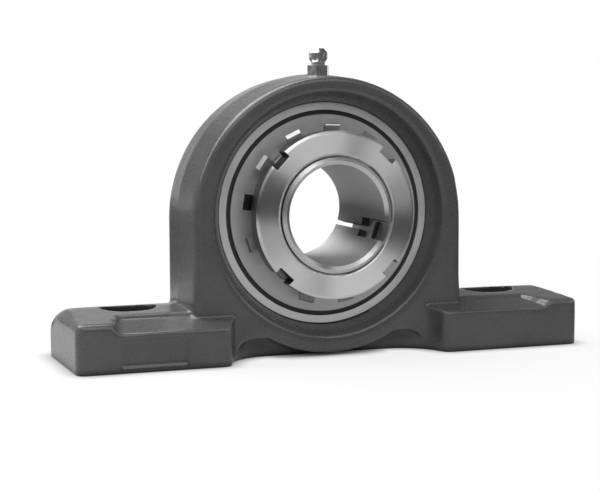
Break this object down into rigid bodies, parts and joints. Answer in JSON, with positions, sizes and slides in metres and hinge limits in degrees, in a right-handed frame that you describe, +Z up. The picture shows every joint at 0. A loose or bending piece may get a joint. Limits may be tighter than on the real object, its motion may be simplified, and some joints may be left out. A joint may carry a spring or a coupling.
{
  "type": "pillow block bearing",
  "caption": "Pillow block bearing: cast housing on slotted feet with a self-aligning insert ball bearing, split adapter sleeve, tabbed washer and slotted lock nut for a plain shaft.",
  "frame": {"origin": "on the base plane, under the middle of the shaft bore", "axes": "+X along the feet, -Y towards the lock nut side, +Z up"},
  "size_m": [0.184, 0.054, 0.1065],
  "materials": {
    "cast_iron": "cast surface under dark grey paint",
    "nipple_steel": "bright plated",
    "valve_steel": "plain",
    "ring_steel": "ground",
    "cage_steel": "pressed sheet",
    "black_rubber": "moulded",
    "slinger_steel": "pressed sheet",
    "turned_steel": "turned",
    "washer_steel": "pressed sheet",
    "ball_steel": "polished"
  },
  "bodies": {
    "housing": {"housing": "cast_iron", "grease_nipple_body": "nipple_steel", "grease_nipple_spring": "valve_steel"},
    "nipple_ball": {"grease_nipple_ball": "valve_steel"},
    "insert": {"outer_ring": "ring_steel", "seal_plate_front": "cage_steel", "seal_plate_rear": "cage_steel", "seal_front": "black_rubber", "seal_rear": "black_rubber"},
    "rotor": {"inner_ring": "ring_steel", "slinger_front": "slinger_steel", "slinger_rear": "slinger_steel", "adapter_sleeve": "turned_steel", "lock_washer": "washer_steel", "lock_nut": "turned_steel"},
    "cage": {"cage_front": "cage_steel", "cage_rear": "cage_steel", "cage_rivets": "cage_steel"},
    "ball_1": {"ball_1": "ball_steel"},
    "ball_2": {"ball_2": "ball_steel"},
    "ball_3": {"ball_3": "ball_steel"},
    "ball_4": {"ball_4": "ball_steel"},
    "ball_5": {"ball_5": "ball_steel"},
    "ball_6": {"ball_6": "ball_steel"},
    "ball_7": {"ball_7": "ball_steel"},
    "ball_8": {"ball_8": "ball_steel"},
    "ball_9": {"ball_9": "ball_steel"}
  },
  "joints": [
    {"name": "valve_slide", "type": "slide", "parent": "housing", "child": "nipple_ball", "axis": [0, 0, -1], "range_m": [0, 0.0006], "stiffness_N_per_m": 100, "deforming": ["grease_nipple_spring"]},
    {"name": "insert_align", "type": "hinge", "parent": "housing", "child": "insert", "pos_m": [0, 0, 0.0492], "axis": [1, 0, 0], "range_deg": [-2, 2]},
    {"name": "rotor_spin", "type": "hinge", "parent": "insert", "child": "rotor", "pos_m": [0, 0, 0.0492], "axis": [0, 1, 0], "continuous": true},
    {"name": "cage_spin", "type": "hinge", "parent": "insert", "child": "cage", "pos_m": [0, 0, 0.0492], "axis": [0, 1, 0], "continuous": true},
    {"name": "ball_1_roll", "type": "hinge", "parent": "cage", "child": "ball_1", "pos_m": [0, 0, 0.0792], "axis": [0, 1, 0], "continuous": true},
    {"name": "ball_2_roll", "type": "hinge", "parent": "cage", "child": "ball_2", "pos_m": [-0.01928, 0, 0.07218], "axis": [0, 1, 0], "continuous": true},
    {"name": "ball_3_roll", "type": "hinge", "parent": "cage", "child": "ball_3", "pos_m": [-0.02954, 0, 0.05441], "axis": [0, 1, 0], "continuous": true},
    {"name": "ball_4_roll", "type": "hinge", "parent": "cage", "child": "ball_4", "pos_m": [-0.02598, 0, 0.0342], "axis": [0, 1, 0], "continuous": true},
    {"name": "ball_5_roll", "type": "hinge", "parent": "cage", "child": "ball_5", "pos_m": [-0.01026, 0, 0.02101], "axis": [0, 1, 0], "continuous": true},
    {"name": "ball_6_roll", "type": "hinge", "parent": "cage", "child": "ball_6", "pos_m": [0.01026, 0, 0.02101], "axis": [0, 1, 0], "continuous": true},
    {"name": "ball_7_roll", "type": "hinge", "parent": "cage", "child": "ball_7", "pos_m": [0.02598, 0, 0.0342], "axis": [0, 1, 0], "continuous": true},
    {"name": "ball_8_roll", "type": "hinge", "parent": "cage", "child": "ball_8", "pos_m": [0.02954, 0, 0.05441], "axis": [0, 1, 0], "continuous": true},
    {"name": "ball_9_roll", "type": "hinge", "parent": "cage", "child": "ball_9", "pos_m": [0.01928, 0, 0.07218], "axis": [0, 1, 0], "continuous": true}
  ],
  "couplings": [
    {"joint": "cage_spin", "follows": "rotor_spin", "ratio": 0.40083},
    {"joint": "ball_1_roll", "follows": "rotor_spin", "ratio": -2.4218},
    {"joint": "ball_2_roll", "follows": "rotor_spin", "ratio": -2.4218},
    {"joint": "ball_3_roll", "follows": "rotor_spin", "ratio": -2.4218},
    {"joint": "ball_4_roll", "follows": "rotor_spin", "ratio": -2.4218},
    {"joint": "ball_5_roll", "follows": "rotor_spin", "ratio": -2.4218},
    {"joint": "ball_6_roll", "follows": "rotor_spin", "ratio": -2.4218},
    {"joint": "ball_7_roll", "follows": "rotor_spin", "ratio": -2.4218},
    {"joint": "ball_8_roll", "follows": "rotor_spin", "ratio": -2.4218},
    {"joint": "ball_9_roll", "follows": "rotor_spin", "ratio": -2.4218}
  ]
}
